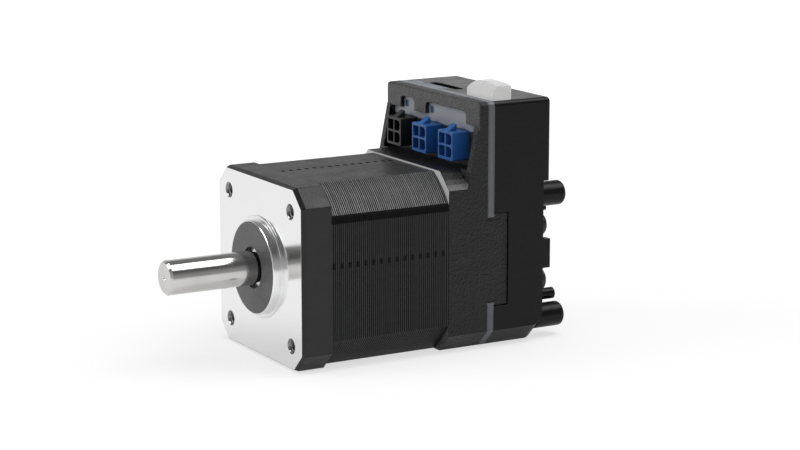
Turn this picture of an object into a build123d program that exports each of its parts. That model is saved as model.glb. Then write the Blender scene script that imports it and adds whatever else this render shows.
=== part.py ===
from build123d import *
import math
import os

# Integrated servo motor. The origin is the centre of the front mounting face, on the shaft axis.
# The shaft points to -Y, the drive casing lies towards +Y, and +Z is up. All lengths are in millimetres.

# Motor frame: a square section with cut corners
frame_width = 42.3
corner_cut = 4.15
bell_depth = 7.5
bell_floor = 2.6
hole_edge_distance = 5.65
face_bevel = 0.45
face_bevel_depth = 1.1
end_turn_gap = 0.2

# Front mounting face
tapped_radius = 1.25
thread_radius = 1.5
hole_mouth_radius = 1.8
tapped_depth = 4.6
pilot_radius = 11.0
pilot_height = 2.0
pilot_chamfer = 0.33
shaft_window_radius = 4.8

# Shaft and bearings
shaft_radius = 4.0
shaft_reach = 24.0
shaft_end_chamfer = 0.5
shaft_centre_radius = 0.6
shaft_relief_depth = 0.4
shaft_relief_length = 1.2
shaft_body_radius = 4.6
rear_journal_radius = 2.5
bearing_outer_radius = 8.0
bearing_width = 5.0
front_bearing_start = -0.9
front_ball_radius = 1.1
rear_ball_radius = 1.5
ball_count = 8
ring_land_share = 0.7
race_clearance = 0.1
shield_thickness = 0.3
shield_gap = 0.2
hub_radius = 10.2
hub_lip = 0.5
washer_thickness = 0.6
washer_inner_radius = 6.2

# Laminated stack
lamination_count = 60
stack_length = 30.66
lamination_gap = 0.14
lamination_gap_depth = 0.07
stack_corner_reach = 4.3
yoke_thickness = 2.95
slot_depth = 4.9
pole_count = 8
pole_width = 4.4
shoe_thickness = 1.1
shoe_half_angle = 19.8
stator_teeth_per_pole = 6
tooth_depth = 0.6
cleat_every = 4
cleat_offset = 3.1
cleat_width = 0.9
cleat_height = 1.2
cleat_depth = 0.12

# Rotor
rotor_tooth_count = 50
air_gap = 0.3
rotor_end_gap = 0.6
magnet_thickness = 2.0
spacer_radius = 5.6

# Coils and their insulators
insulator_thickness = 0.5
insulator_rim_height = 3.3
insulator_rim_thickness = 0.4
insulator_rim_gap = 0.05
coil_thickness = 2.4
coil_shoe_gap = 0.5
coil_rim_gap = 0.2
coil_corner_radius = 1.5
coil_slack = 0.02
phase_pin_radius = 0.35
phase_pin_edge_distance = 1.2
phase_pin_hole_radius = 0.8

# Drive casing behind the stack: cast rear housing, light guide and rear cover
casing_rise = 16.15
casing_top_radius = 1.15
ledge_rise = 0.45
housing_wall = 1.8
housing_length = 10.55
floor_start = 3.65
floor_thickness = 1.8
bearing_hub_length = 4.4
wall_foot_from_stack = 4.91
wall_foot_drop = 3.95
wall_head_from_stack = 7.84
wall_head_drop = 5.3
panel_front_from_stack = 7.95
panel_thickness = 1.0
panel_height = 5.6
panel_edge_chamfer = 0.35
bay_floor_thickness = 1.6
notch_drop = 2.75
notch_radius = 1.2
notch_left_overhang = 2.7
small_notch_right_overhang = 3.7
large_notch_left_overhang = 2.95
large_notch_right_overhang = 3.4

# Light guide between housing and cover
band_width = 1.75
band_depth = 3.2
guide_bore_radius = 13.5
guide_fit = 0.15
window_edge_distance = 3.15
window_width = 15.5
window_length = 2.25
window_thickness = 1.4
led_pocket_size = 1.6
led_pocket_depth = 0.4
led_pocket_offset = -1.3
led_pocket_drop = 1.8

# Side tongues of the housing, which lap over the rear cover
tongue_half_height = 11.0
tongue_neck_half_height = 10.1
tongue_reach = 5.6
tongue_step = 0.25
tongue_pad_half_height = 9.4
tongue_pad_reach = 3.8
tongue_thickness = 1.0
tongue_gap = 0.1

# Rear cover
cover_wall = 1.6
cover_upper_length = 15.55
cover_lower_length = 13.75
cover_step_drop = 3.65
cover_bottom_fillet = 2.6
cover_top_fillet = 0.9
side_pad_half_height = 3.5
side_pad_reach = 2.0
side_pad_width = 2.15
slot_left = -13.0
slot_right = 0.0
slot_width = 2.5
slot_radius = 1.2
cover_screw_edge_distance = 5.15
cover_screw_high = 6.1
cover_screw_low = -7.3
cover_boss_radius = 3.0
housing_boss_radius = 2.3
cover_screw_tip_from_board = 5.0
screw_radius = 1.47
screw_clearance_radius = 1.6
cover_screw_head_radius = 2.75
cover_screw_head_height = 3.0
cover_screw_head_round = 0.9
hex_key_width = 2.0
hex_key_depth = 1.2

# Posts and pegs moulded on the rear of the cover
post_edge_distance = 4.65
post_step_distance = 4.1
post_base_distance = 4.95
post_radius = 2.95
post_reach = 7.8
post_round = 1.0
upper_peg_edge_distance = 6.15
upper_peg_z = 9.6
upper_peg_radius = 0.55
upper_peg_reach = 4.5
lower_peg_edge_distance = 6.65
lower_peg_z = -11.6
lower_peg_radius = 1.4
lower_peg_reach = 7.1

# Control board and what it carries
board_from_stack = 13.35
board_thickness = 1.6
board_edge_gap = 0.3
board_top_gap = 3.3
standoff_flats = 5.5
tie_bolt_tip = 4.7
board_screw_length = 4.5
board_screw_head_radius = 2.75
board_screw_head_height = 1.9
encoder_chip_size = 4.9
chip_thickness = 0.9
processor_size = 9.0
transistor_size = 4.6
transistor_pitch = 6.4
transistor_row_z = -11.0
transistor_row_gap = 7.2
capacitor_radius = 3.9
capacitor_length = 8.2
capacitor_top_distance = 13.9
capacitor_edge_distance = 6.85
capacitor_pitch = 8.9
inductor_size = 7.0
inductor_height = 4.0
inductor_x = -9.0
inductor_z = 10.5
led_size = 1.4
led_thickness = 0.7
magnet_radius = 3.0
encoder_magnet_thickness = 2.5
magnet_holder_radius = 3.5
magnet_holder_gap = 0.3
shaft_tail = 0.8

# Plug headers
header_count = 3
header_side_room = 6.45
header_offset = -0.05
header_width = 6.6
header_height = 6.8
header_drop = 10.8
header_front_from_guide = 4.5
header_chamfer = 0.25
cell_pitch = 3.0
cell_size = 2.5
cell_corner = 0.55
cell_floor = 1.5
pin_size = 0.64
pin_setback = 1.6
pin_tail = 0.9
pin_hole_radius = 0.5
latch_width = 2.0
latch_height = 1.5
latch_front = 0.3
latch_length = 2.3
header_window_gap = 0.12

# Memory card socket under the slot
socket_thickness = 2.0
socket_wall = 0.4
socket_side_gap = 0.5
socket_height = 14.0
socket_mouth = 12.0
socket_top_gap = 0.3

# Lit push button on top
button_edge_distance = 1.3
button_width = 11.85
button_front_gap = 0.15
button_length = 5.4
button_side_gap = 0.15
button_wall_height = 1.3
button_bend_width = 0.9
button_bend_height = 2.9
button_shoulder_width = 3.2
button_shoulder_height = 3.65
button_crown_from_left = 5.2
button_crown_height = 3.65
button_right_height = 3.1
button_front_height = 0.6
button_roll_depth = 1.2
button_roll_height = 2.85
button_rear_height = 4.0
button_scoop_front = 0.25
button_scoop_rear = 2.4
button_scoop_width = 0.4
button_scoop_rise = 1.2
button_corner_radius = 0.8
button_skirt = 0.35
button_travel = 0.6
pocket_depth = 1.1
stem_side_gap = 1.6
stem_width = 8.8
stem_front_gap = 0.85
stem_length = 3.8
stem_fit = 0.2
stem_drop = 2.4
catch_reach = 0.7
catch_thickness = 0.6
switch_width = 6.0
switch_depth = 3.5
switch_height = 3.5
plunger_width = 3.0
plunger_depth = 1.8
plunger_fit = 0.1
plunger_sink = 0.9
plunger_play = 0.05
switch_drop = 3.0

# Worked-out places
half = frame_width / 2
hole_x = half - hole_edge_distance
yoke_radius = half - yoke_thickness
end_turn_bore_radius = yoke_radius + end_turn_gap
stack_corner_radius = half + stack_corner_reach
stator_bore_radius = yoke_radius - slot_depth
shoe_back_radius = stator_bore_radius + shoe_thickness
coil_radial_start = shoe_back_radius + coil_shoe_gap
phase_pin_circle = yoke_radius - phase_pin_edge_distance
casing_top = half + casing_rise
ledge_top = half + ledge_rise
wall_foot_height = half - wall_foot_drop
wall_head_height = casing_top - wall_head_drop
panel_bottom = casing_top - panel_height
notch_top = casing_top - notch_drop
led_pocket_height = notch_top - led_pocket_drop
window_left = window_edge_distance - half
window_right = window_left + window_width
cover_step_height = half - cover_step_drop
cover_screw_x = half - cover_screw_edge_distance
post_x = half - post_edge_distance
post_high = cover_step_height - post_step_distance
post_low = post_base_distance - half
upper_peg_x = half - upper_peg_edge_distance
lower_peg_x = half - lower_peg_edge_distance
board_top = casing_top - board_top_gap
capacitor_z = casing_top - capacitor_top_distance
capacitor_first_x = half - capacitor_edge_distance - capacitor_pitch
header_z = casing_top - header_drop
header_pitch = (frame_width - header_side_room) / header_count
button_right = half - button_edge_distance
button_left = button_right - button_width
stem_left = button_left + stem_side_gap
stem_right = stem_left + stem_width
switch_x = (stem_left + stem_right) / 2
lamination_pitch = stack_length / lamination_count
cut_share = 2 - math.sqrt(2)
stack_end = bell_depth + stack_length
stack_middle = (bell_depth + stack_end) / 2
front_bearing_end = front_bearing_start + bearing_width
housing_end = stack_end + housing_length
floor_front = stack_end + floor_start
floor_rear = floor_front + floor_thickness
rear_bearing_start = stack_end + 1.15
rear_bearing_end = rear_bearing_start + bearing_width
hub_end = floor_rear + bearing_hub_length - floor_thickness
panel_front = stack_end + panel_front_from_stack
guide_front = panel_front + panel_thickness
band_end = housing_end + band_width
button_front = band_end + button_front_gap
button_rear = button_front + button_length
board_front = stack_end + board_from_stack
board_rear = board_front + board_thickness
cover_lower_end = band_end + cover_lower_length
cover_upper_end = band_end + cover_upper_length
header_front = guide_front - header_front_from_guide
slot_front = band_end + window_length + tongue_gap
pin_angles = (67.5, 112.5, 247.5, 292.5)


def plane_at(y):
    """Plane of X and Z at depth y, looking towards the shaft."""
    return Plane(origin=(0, y, 0), x_dir=(1, 0, 0), z_dir=(0, -1, 0))


def slab(profile, y_front, y_rear):
    """Solid of a sketch in X and Z between two depths."""
    return extrude(plane_at(y_rear) * profile, amount=y_rear - y_front)


def rod(radius, y_front, y_rear, x=0, z=0):
    """Round bar along the shaft direction."""
    return slab(Pos(x, z) * Circle(radius), y_front, y_rear)


def tube(outer, inner, y_front, y_rear, x=0, z=0):
    """Round tube along the shaft direction."""
    return slab(Pos(x, z) * (Circle(outer) - Circle(inner)), y_front, y_rear)


def block(x_low, x_high, y_low, y_high, z_low, z_high):
    """Box between two corners."""
    middle = Pos((x_low + x_high) / 2, (y_low + y_high) / 2, (z_low + z_high) / 2)
    return middle * Box(x_high - x_low, y_high - y_low, z_high - z_low)


def square_places(x, z):
    """The four places that mirror one place about the shaft axis."""
    return [(x, z), (-x, z), (x, -z), (-x, -z)]


def cover_screw_places():
    return [(side * cover_screw_x, z) for side in (-1, 1) for z in (cover_screw_high, cover_screw_low)]


def frame_outline(inset=0.0):
    """Square frame section with cut corners."""
    size = frame_width - 2 * inset
    return chamfer(Rectangle(size, size).vertices(), corner_cut - inset * cut_share)


def ledge_outline():
    """Section of the housing where it meets the stack, cut at all four corners."""
    height = half + ledge_top
    raised = Pos(0, (ledge_top - half) / 2) * Rectangle(frame_width, height)
    return chamfer(raised.vertices(), corner_cut)


def casing_outline(inset=0.0):
    """Section of the drive casing: cut corners below, rounded corners on top."""
    side = half - inset
    top = casing_top - inset
    cut = corner_cut - inset * cut_share
    points = [
        (-side + cut, -side),
        (side - cut, -side),
        (side, -side + cut),
        (side, top),
        (-side, top),
        (-side, -side + cut),
    ]
    outline = Polygon(*points, align=None)
    top_corners = outline.vertices().group_by(Axis.Y)[-1]
    return fillet(top_corners, max(casing_top_radius - inset, housing_wall / 4))


def below(height):
    """Sketch that covers the casing section up to a height."""
    return Pos(0, (height - frame_width) / 2) * Rectangle(2 * frame_width, height + frame_width)


# Front bell with the pilot, the bearing seat and the threaded mounting holes


def front_bell():
    bevel = loft([plane_at(face_bevel_depth) * frame_outline(), plane_at(0) * frame_outline(face_bevel)])
    body = slab(frame_outline(), face_bevel_depth, bell_depth) + bevel
    body -= rod(end_turn_bore_radius, bell_floor, bell_depth)
    pilot = rod(pilot_radius, -pilot_height, bell_floor)
    pilot = chamfer(pilot.edges().group_by(Axis.Y)[0], pilot_chamfer)
    body += pilot
    body += rod(hub_radius, 0, front_bearing_end + hub_lip)
    body -= rod(bearing_outer_radius, front_bearing_start, bell_depth)
    body -= rod(shaft_window_radius, -pilot_height, bell_depth)
    sink = hole_mouth_radius - tapped_radius
    for x, z in square_places(hole_x, hole_x):
        body -= rod(tapped_radius, 0, tapped_depth, x, z)
        body -= rod(thread_radius, tapped_depth, bell_depth, x, z)
        body -= plane_at(sink / 2) * Pos(x, z) * Cone(tapped_radius, hole_mouth_radius, sink)
    return body


# Ball bearings: outer ring, inner ring, balls and the two shields


def bearing(y_front, bore_radius, ball_radius):
    middle = y_front + bearing_width / 2
    pitch_radius = (bore_radius + bearing_outer_radius) / 2
    land = ball_radius * ring_land_share
    groove = Pos(0, middle, 0) * Rot(90, 0, 0) * Torus(pitch_radius, ball_radius + race_clearance)
    y_rear = y_front + bearing_width
    outer_ring = tube(bearing_outer_radius, pitch_radius + land, y_front, y_rear) - groove
    inner_ring = tube(pitch_radius - land, bore_radius, y_front, y_rear) - groove
    ball = Pos(pitch_radius, middle, 0) * Sphere(ball_radius)
    balls = [Rot(0, 360 / ball_count * turn, 0) * ball for turn in range(ball_count)]
    shield_radius = pitch_radius + land
    shield_bore = pitch_radius - land + shield_gap
    shields = [
        tube(shield_radius, shield_bore, y_front, y_front + shield_thickness),
        tube(shield_radius, shield_bore, y_rear - shield_thickness, y_rear),
    ]
    return outer_ring, inner_ring, balls, shields


# Laminated stack with toothed poles


def lamination_outline(inset=0.0):
    """Square with rounded corners that one lamination is punched to."""
    size = frame_width - 2 * inset
    return Rectangle(size, size) & Circle(stack_corner_radius - inset)


def polar(radius, angle):
    """Point in X and Z at an angle in degrees."""
    return (radius * math.cos(math.radians(angle)), radius * math.sin(math.radians(angle)))


def pole_outline(width):
    """One pole along +X: a neck from the yoke and a shoe with small teeth."""
    tooth_pitch = 360 / rotor_tooth_count
    root_radius = stator_bore_radius + tooth_depth
    neck_angle = math.degrees(math.asin(width / 2 / shoe_back_radius))
    points = [
        (yoke_radius + 1, -width / 2),
        polar(shoe_back_radius, -neck_angle),
        polar(shoe_back_radius, -shoe_half_angle),
    ]
    first = -tooth_pitch * (stator_teeth_per_pole - 1) / 2
    for tooth in range(stator_teeth_per_pole):
        middle = first + tooth * tooth_pitch
        points.append(polar(root_radius, middle - tooth_pitch / 4))
        points.append(polar(stator_bore_radius, middle - tooth_pitch / 4))
        points.append(polar(stator_bore_radius, middle + tooth_pitch / 4))
        points.append(polar(root_radius, middle + tooth_pitch / 4))
    points.append(polar(shoe_back_radius, shoe_half_angle))
    points.append(polar(shoe_back_radius, neck_angle))
    points.append((yoke_radius + 1, width / 2))
    return Polygon(*points, align=None)


def around_poles(item):
    """Copies of one item at every pole."""
    return [Rot(0, 360 / pole_count * turn, 0) * item for turn in range(pole_count)]


def cleat_marks():
    """Pressed marks that hold the laminations together, one row on each flat side."""
    marks = []
    for row in range(0, lamination_count, cleat_every):
        y = bell_depth + (row + 1) * lamination_pitch - cleat_width / 2
        mark = block(half - cleat_depth, half + 1, y, y + cleat_width,
                     cleat_offset - cleat_height / 2, cleat_offset + cleat_height / 2)
        marks += [mark, mirror(mark, Plane.YZ), Rot(0, -90, 0) * mark, Rot(0, 90, 0) * mark]
    return marks


def lamination_gaps():
    """Thin grooves round the stack, one between each two laminations."""
    ring = lamination_outline(-lamination_gap) - lamination_outline(lamination_gap_depth)
    ends = [bell_depth + sheet * lamination_pitch for sheet in range(1, lamination_count)]
    return [slab(ring, end - lamination_gap, end) for end in ends]


def stator_core():
    slot_space = rod(yoke_radius, bell_depth, stack_end)
    slot_space -= around_poles(slab(pole_outline(pole_width), bell_depth, stack_end))
    stack = slab(lamination_outline(), bell_depth, stack_end) - slot_space
    stack -= [rod(screw_clearance_radius, bell_depth, stack_end, x, z) for x, z in square_places(hole_x, hole_x)]
    return stack - (lamination_gaps() + cleat_marks())


# Coils and the insulators under their end turns


def insulator(stack_face, outward):
    """Plastic end insulator on one face of the stack. outward is -1 at the front and 1 at the rear."""
    plate_edge = stack_face + outward * insulator_thickness
    rim_edge = stack_face + outward * insulator_rim_height
    low, high = sorted((stack_face, plate_edge))
    rim_low, rim_high = sorted((stack_face, rim_edge))
    rim_outer = yoke_radius - insulator_rim_gap
    rim_inner = rim_outer - insulator_rim_thickness
    neck = pole_width / 2
    inner = stator_bore_radius + tooth_depth
    body = tube(rim_outer, rim_inner, rim_low, rim_high)
    finger = block(inner, rim_inner + insulator_rim_thickness / 2, low, high, -neck, neck)
    cheek_back = coil_radial_start - coil_slack
    cheek = block(inner, cheek_back, rim_low, rim_high, -neck, neck)
    return body + around_poles(finger + cheek)


def coil():
    inner_length = stack_length + 2 * (insulator_thickness + coil_slack)
    inner_width = pole_width + 2 * (insulator_thickness + coil_slack)
    corner = inner_width / 2 + coil_thickness
    rim_inner = yoke_radius - insulator_rim_gap - insulator_rim_thickness
    coil_back = math.sqrt((rim_inner - coil_rim_gap) ** 2 - corner ** 2)
    outer = RectangleRounded(inner_length + 2 * coil_thickness, inner_width + 2 * coil_thickness,
                             coil_corner_radius + coil_thickness / 2)
    inner = Rectangle(inner_length, inner_width)
    seat = Plane(origin=(coil_radial_start, stack_middle, 0), x_dir=(0, 1, 0), z_dir=(1, 0, 0))
    return extrude(seat * (outer - inner), amount=coil_back - coil_radial_start)


def phase_pins():
    """Stiff pins that lead from the coils to the board."""
    places = [polar(phase_pin_circle, angle) for angle in pin_angles]
    return [rod(phase_pin_radius, stack_end + insulator_thickness, board_rear + pin_tail, x, z) for x, z in places]


# Rotor: shaft, two toothed cores with a magnet between them, and the spacer


def shaft():
    relief_rear = front_bearing_start
    relief_front = relief_rear - shaft_relief_length
    output = rod(shaft_radius, -shaft_reach, relief_front)
    output = chamfer(output.edges().group_by(Axis.Y)[0], shaft_end_chamfer)
    body = output + rod(shaft_radius - shaft_relief_depth, relief_front, relief_rear)
    body += rod(shaft_radius, relief_rear, front_bearing_end)
    body += rod(shaft_body_radius, front_bearing_end, rear_bearing_start)
    body += rod(rear_journal_radius, rear_bearing_start, hub_end + shaft_tail)
    centre_depth = shaft_centre_radius
    centre = plane_at(-shaft_reach + centre_depth / 2) * Cone(0, shaft_centre_radius, centre_depth)
    return body - centre


def rotor_core(y_front, y_rear, start_angle):
    """One toothed half of the rotor."""
    tip_radius = stator_bore_radius - air_gap
    root_radius = tip_radius - tooth_depth
    tooth_pitch = 360 / rotor_tooth_count
    points = []
    for tooth in range(rotor_tooth_count):
        middle = start_angle + tooth * tooth_pitch
        points.append(polar(root_radius, middle - tooth_pitch / 4))
        points.append(polar(tip_radius, middle - tooth_pitch / 4))
        points.append(polar(tip_radius, middle + tooth_pitch / 4))
        points.append(polar(root_radius, middle + tooth_pitch / 4))
    return slab(Polygon(*points, align=None) - Circle(shaft_body_radius), y_front, y_rear)


def rotor_pieces():
    front = bell_depth + rotor_end_gap
    rear = stack_end - rotor_end_gap
    magnet_front = stack_middle - magnet_thickness / 2
    magnet_rear = stack_middle + magnet_thickness / 2
    magnet_outer = stator_bore_radius - air_gap - tooth_depth
    half_tooth = 180 / rotor_tooth_count
    return {
        "rotor_core_front": rotor_core(front, magnet_front, 0),
        "rotor_magnet": tube(magnet_outer, shaft_body_radius, magnet_front, magnet_rear),
        "rotor_core_rear": rotor_core(magnet_rear, rear, half_tooth),
        "rotor_spacer": tube(spacer_radius, shaft_body_radius, front_bearing_end + race_clearance, front),
    }


def magnet_holder():
    start = hub_end + magnet_holder_gap
    shaft_tip = hub_end + shaft_tail
    end = shaft_tip + encoder_magnet_thickness - magnet_holder_gap
    holder = rod(magnet_holder_radius, start, end)
    holder -= rod(rear_journal_radius, start, shaft_tip)
    return holder - rod(magnet_radius, shaft_tip, end)


def encoder_magnet():
    shaft_tip = hub_end + shaft_tail
    return rod(magnet_radius, shaft_tip, shaft_tip + encoder_magnet_thickness)


def wave_washer():
    return tube(bearing_outer_radius - race_clearance, washer_inner_radius,
                rear_bearing_end, rear_bearing_end + washer_thickness)


# Cast rear housing with the connector bay, the visor panel and the side tongues


def side_profile():
    """Upper part of the housing seen from the side, in Y and Z."""
    points = [
        (stack_end + wall_foot_from_stack, 0),
        (stack_end + wall_foot_from_stack, wall_foot_height),
        (stack_end + wall_head_from_stack, wall_head_height),
        (panel_front, wall_head_height),
        (panel_front, casing_top - panel_edge_chamfer),
        (panel_front + panel_edge_chamfer, casing_top),
        (housing_end, casing_top),
        (housing_end, 0),
    ]
    return extrude(Plane.YZ * Polygon(*points, align=None), amount=frame_width, both=True)


def notch(left, right):
    """Opening in the visor panel, with rounded upper corners."""
    low = ledge_top + notch_radius
    middle = Pos((left + right) / 2, (low + notch_top) / 2)
    return slab(middle * RectangleRounded(right - left, notch_top - low, notch_radius), panel_front, guide_front)


def side_tongue():
    """Right-hand lap over the cover: a thin border with a raised pad."""
    inner = half - tongue_thickness
    border = half - tongue_step
    root = housing_end - housing_wall
    neck = block(inner, border, root, housing_end + tongue_reach, -tongue_neck_half_height, tongue_neck_half_height)
    wide = block(inner, border, band_end + tongue_gap, housing_end + tongue_reach,
                 -tongue_half_height, tongue_half_height)
    pad = block(inner, half, root, housing_end + tongue_pad_reach, -tongue_pad_half_height, tongue_pad_half_height)
    return neck + wide + pad


def rear_housing():
    inner = half - housing_wall
    floor_gap = ledge_top - bay_floor_thickness
    upper = slab(casing_outline(), stack_end + wall_foot_from_stack, housing_end) & side_profile()
    body = slab(ledge_outline(), stack_end, housing_end) + upper
    body -= block(-inner, inner, stack_end, panel_front, ledge_top, casing_top)
    body -= block(-inner, inner, panel_front, guide_front, ledge_top, panel_bottom)
    power, bus_in, bus_out = header_centres()
    body -= notch(power - notch_left_overhang, power + small_notch_right_overhang)
    body -= notch(bus_in - large_notch_left_overhang, bus_out + large_notch_right_overhang)
    body -= slab(casing_outline(housing_wall), guide_front, housing_end)
    body -= slab(casing_outline(housing_wall) & below(floor_gap), floor_rear, housing_end)
    body -= rod(end_turn_bore_radius, stack_end, floor_front)
    body += rod(hub_radius, rear_bearing_start - hub_lip, hub_end)
    body -= rod(bearing_outer_radius, stack_end, rear_bearing_end + washer_thickness)
    body -= rod(shaft_body_radius, rear_bearing_end, hub_end)
    for x, z in square_places(hole_x, hole_x):
        body -= rod(screw_clearance_radius, stack_end, floor_rear, x, z)
    for angle in pin_angles:
        body -= rod(phase_pin_hole_radius, floor_front, floor_rear, *polar(phase_pin_circle, angle))
    for x, z in cover_screw_places():
        body += rod(housing_boss_radius, floor_rear, board_front, x, z)
    for x, z in cover_screw_places():
        body -= rod(thread_radius, board_front - cover_screw_tip_from_board, board_front, x, z)
    tongue = side_tongue()
    return body + tongue + mirror(tongue, Plane.YZ)


# Light guide: a plate behind the visor, with a rim that shows as a band round the casing


def header_centres():
    return [header_offset + header_pitch * place for place in (-1, 0, 1)]


def light_guide():
    plate = slab(casing_outline(housing_wall + guide_fit), guide_front, housing_end)
    rim = slab(casing_outline() - casing_outline(band_depth), housing_end, band_end)
    zone = tongue_neck_half_height + tongue_gap
    for side in (-1, 1):
        edge = sorted((side * (half - band_depth), side * (half + 1)))
        rim -= block(edge[0], edge[1], housing_end, band_end, -zone, zone)
    window = block(window_left, window_right, band_end, band_end + window_length,
                   casing_top - window_thickness, casing_top)
    body = plate + rim + window
    body -= rod(guide_bore_radius, guide_front, band_end)
    for x, z in cover_screw_places():
        body -= rod(housing_boss_radius + guide_fit, guide_front, band_end, x, z)
    for x, z in square_places(hole_x, hole_x):
        body -= rod(standoff_flats / math.sqrt(3) + guide_fit, guide_front, band_end, x, z)
    for angle in pin_angles:
        body -= rod(phase_pin_hole_radius, guide_front, band_end, *polar(phase_pin_circle, angle))
    side = header_width / 2 + header_window_gap
    rise = header_height / 2 + header_window_gap
    for x in header_centres():
        body -= block(x - side, x + side, guide_front, band_end, header_z - rise, header_z + rise)
    for x in header_centres()[:2]:
        body -= block(x + led_pocket_offset - led_pocket_size / 2, x + led_pocket_offset + led_pocket_size / 2,
                      guide_front, guide_front + led_pocket_depth,
                      led_pocket_height - led_pocket_size / 2, led_pocket_height + led_pocket_size / 2)
    return body


# Tie bolts, board and board screws


def tie_bolts():
    bolts = []
    for x, z in square_places(hole_x, hole_x):
        head = Pos(x, z) * RegularPolygon(standoff_flats / 2, 6, major_radius=False)
        bolt = slab(head, floor_rear, board_front) + rod(screw_radius, tie_bolt_tip, floor_rear, x, z)
        bolts.append(bolt - rod(thread_radius, board_front - board_screw_length, board_front, x, z))
    return bolts


def board_screws():
    tip = board_front - board_screw_length + board_thickness
    screws = []
    for x, z in square_places(hole_x, hole_x):
        head = rod(board_screw_head_radius, board_rear, board_rear + board_screw_head_height, x, z)
        head = fillet(head.edges().group_by(Axis.Y)[-1], board_screw_head_height / 2)
        screw = head + rod(screw_radius, tip, board_rear, x, z)
        key = Pos(x, z) * RegularPolygon(hex_key_width / 2, 6, major_radius=False)
        head_end = board_rear + board_screw_head_height
        screws.append(screw - slab(key, head_end - hex_key_depth, head_end))
    return screws


def header_pin_places(x):
    step = cell_pitch / 2
    return [(x + a * step, header_z + b * step) for a in (-1, 1) for b in (-1, 1)]


def control_board():
    outline = casing_outline(cover_wall + board_edge_gap) & below(board_top)
    board = slab(outline, board_front, board_rear)
    holes = square_places(hole_x, hole_x) + cover_screw_places()
    board -= [rod(screw_clearance_radius, board_front, board_rear, x, z) for x, z in holes]
    small = [place for x in header_centres() for place in header_pin_places(x)]
    small += [polar(phase_pin_circle, angle) for angle in pin_angles]
    return board - [rod(pin_hole_radius, board_front, board_rear, x, z) for x, z in small]


# Plug headers with four cells, a latch ramp and their pins


def header(x):
    side = header_width / 2
    rise = header_height / 2
    shell = block(x - side, x + side, header_front, board_front, header_z - rise, header_z + rise)
    shell = chamfer(shell.edges().filter_by(Axis.Y), header_chamfer)
    top = header_z + rise
    ramp_start = header_front + latch_front
    ramp = Polygon((ramp_start, top - header_chamfer), (ramp_start, top), (ramp_start + latch_length, top + latch_height),
                   (ramp_start + latch_length, top - header_chamfer), align=None)
    shell += Pos(x, 0, 0) * extrude(Plane.YZ * ramp, amount=latch_width / 2, both=True)
    for place_x, place_z in header_pin_places(x):
        cell = Rectangle(cell_size, cell_size)
        if place_x > x:
            cell = chamfer(cell.vertices().group_by(Axis.X)[-1], cell_corner)
        shell -= slab(Pos(place_x, place_z) * cell, header_front, board_front - cell_floor)
        shell -= slab(Pos(place_x, place_z) * Rectangle(pin_size, pin_size), board_front - cell_floor, board_front)
    return shell


def header_pins(x):
    pins = []
    for place_x, place_z in header_pin_places(x):
        section = Pos(place_x, place_z) * Rectangle(pin_size, pin_size)
        pins.append(slab(section, header_front + pin_setback, board_rear))
    return pins


# Parts on the board


def chip(x, z, size, y_front, y_rear):
    return block(x - size / 2, x + size / 2, y_front, y_rear, z - size / 2, z + size / 2)


def power_transistors():
    chips = []
    for row in range(2):
        for column in range(4):
            x = (column - 1.5) * transistor_pitch
            z = transistor_row_z + row * transistor_row_gap
            chips.append(chip(x, z, transistor_size, board_rear, board_rear + chip_thickness))
    return chips


def filter_capacitors():
    cans = []
    for place in range(2):
        x = capacitor_first_x + place * capacitor_pitch
        can = rod(capacitor_radius, board_rear, board_rear + capacitor_length, x, capacitor_z)
        cans.append(fillet(can.edges().group_by(Axis.Y)[-1], housing_wall / 4))
    return cans


def power_inductor():
    coil_body = chip(inductor_x, inductor_z, inductor_size, board_rear, board_rear + inductor_height)
    return fillet(coil_body.edges().filter_by(Axis.Y), inductor_size / 5)


def status_leds():
    """Small lamps on the front of the board: two behind the visor and four that light the band."""
    places = [(x + led_pocket_offset, led_pocket_height) for x in header_centres()[:2]]
    places += square_places(half - 2 * band_depth, hole_x - band_depth - led_size)
    return [chip(x, z, led_size, board_front - led_thickness, board_front) for x, z in places]


def card_socket():
    left = slot_left + socket_side_gap
    right = slot_right - socket_side_gap
    top = casing_top - cover_wall - socket_top_gap
    shell = block(left, right, board_rear, board_rear + socket_thickness, top - socket_height, top)
    mouth = block(left + socket_wall, right - socket_wall, board_rear + socket_wall,
                  board_rear + socket_thickness - socket_wall, top - socket_mouth, top)
    return shell - mouth


# Lit push button, its switch and the plunger


def button_plan(extra=0.0):
    """Outline of the button head in X and Y."""
    left = button_left - extra
    right = button_right + extra
    front = button_front - extra
    rear = button_rear + extra
    plan = Polygon((left, front), (right, front), (right, rear), (left, rear), align=None)
    return fillet(plan.vertices(), button_corner_radius)


def button_side_view():
    """Crowned outline of the button head in X and Z."""
    base = casing_top - button_skirt
    wall_top = (button_left, casing_top + button_wall_height)
    bend = (button_left + button_bend_width, casing_top + button_bend_height)
    shoulder = (button_left + button_shoulder_width, casing_top + button_shoulder_height)
    crown = (button_left + button_crown_from_left, casing_top + button_crown_height)
    right_top = (button_right, casing_top + button_right_height)
    outline = Line((button_right, base), (button_left, base))
    outline += Line((button_left, base), wall_top)
    outline += ThreePointArc(wall_top, bend, shoulder)
    outline += ThreePointArc(shoulder, crown, right_top)
    outline += Line(right_top, (button_right, base))
    return make_face(outline)


def button_end_view():
    """Outline of the button head in Y and Z, rolled over from the front edge up to the rear."""
    base = casing_top - button_skirt
    front_top = (button_front, casing_top + button_front_height)
    roll = (button_front + button_roll_depth, casing_top + button_roll_height)
    rear_top = (button_rear, casing_top + button_rear_height)
    outline = Line((button_front, base), (button_rear, base))
    outline += Line((button_rear, base), rear_top)
    outline += ThreePointArc(rear_top, roll, front_top)
    outline += Line(front_top, (button_front, base))
    return make_face(outline)


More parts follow.
